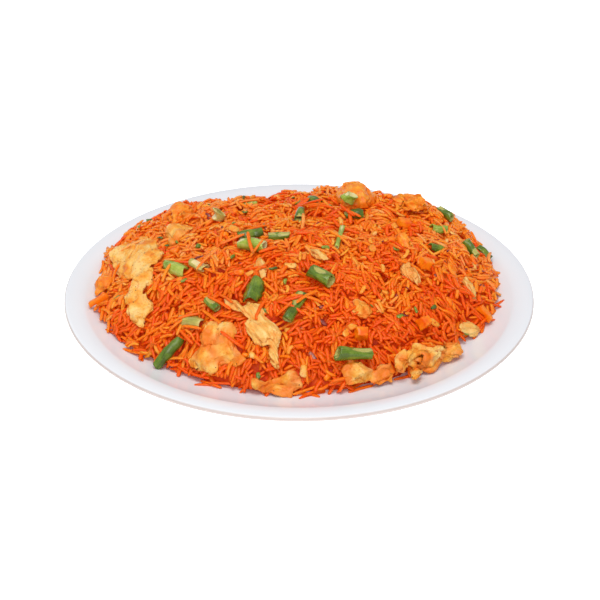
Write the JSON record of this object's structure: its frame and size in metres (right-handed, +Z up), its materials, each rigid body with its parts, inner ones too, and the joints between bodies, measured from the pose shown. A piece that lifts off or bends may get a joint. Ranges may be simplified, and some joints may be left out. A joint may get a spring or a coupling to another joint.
{
  "type": "plate of chicken fried rice",
  "caption": "Round white plate holding a broad heap of orange fried rice with scrambled egg, chicken, diced carrot and cut spring onion lying on it.",
  "frame": {"origin": "centre of the plate's foot, on the surface that it stands on", "axes": "+Z up; -Y is the side that faces the viewer, +X is to the viewer's right"},
  "size_m": [0.26, 0.26, 0.0576],
  "materials": {
    "porcelain": "smooth white glaze",
    "rice": "cooked rice grains, orange, with a thin film of oil",
    "egg": "scrambled egg, pale yellow with browned spots",
    "chicken": "cooked chicken, pale and fibrous, stained by the sauce",
    "coated_chicken": "chicken covered in orange sauce",
    "carrot": "cooked carrot",
    "spring_onion": "cooked green stalk, wet, light to dark green"
  },
  "bodies": {
    "root": {"egg_1": "egg", "egg_2": "egg", "egg_3": "egg", "egg_4": "egg", "egg_5": "egg", "egg_6": "egg", "egg_7": "egg", "egg_8": "egg", "egg_9": "egg", "chicken_1": "chicken", "chicken_2": "chicken", "chicken_3": "chicken", "chicken_4": "chicken", "chicken_5": "chicken", "chicken_6": "chicken", "chicken_7": "chicken", "coated_chicken_1": "coated_chicken", "coated_chicken_2": "coated_chicken", "coated_chicken_3": "coated_chicken", "coated_chicken_4": "coated_chicken", "coated_chicken_5": "coated_chicken", "carrot_1": "carrot", "carrot_2": "carrot", "carrot_3": "carrot", "carrot_4": "carrot", "carrot_5": "carrot", "carrot_6": "carrot", "carrot_7": "carrot", "carrot_8": "carrot", "spring_onion_1": "spring_onion", "spring_onion_2": "spring_onion", "spring_onion_3": "spring_onion", "spring_onion_4": "spring_onion", "spring_onion_5": "spring_onion", "spring_onion_6": "spring_onion", "spring_onion_7": "spring_onion", "spring_onion_8": "spring_onion", "spring_onion_9": "spring_onion", "spring_onion_10": "spring_onion", "spring_onion_11": "spring_onion", "spring_onion_12": "spring_onion", "spring_onion_13": "spring_onion", "spring_onion_14": "spring_onion", "spring_onion_15": "spring_onion", "spring_onion_16": "spring_onion", "spring_onion_17": "spring_onion", "spring_onion_18": "spring_onion", "spring_onion_19": "spring_onion", "spring_onion_20": "spring_onion", "spring_onion_21": "spring_onion", "spring_onion_22": "spring_onion", "spring_onion_23": "spring_onion", "spring_onion_24": "spring_onion", "spring_onion_25": "spring_onion", "spring_onion_26": "spring_onion", "spring_onion_27": "spring_onion", "plate": "porcelain", "rice_heap": "rice"}
  },
  "joints": []
}
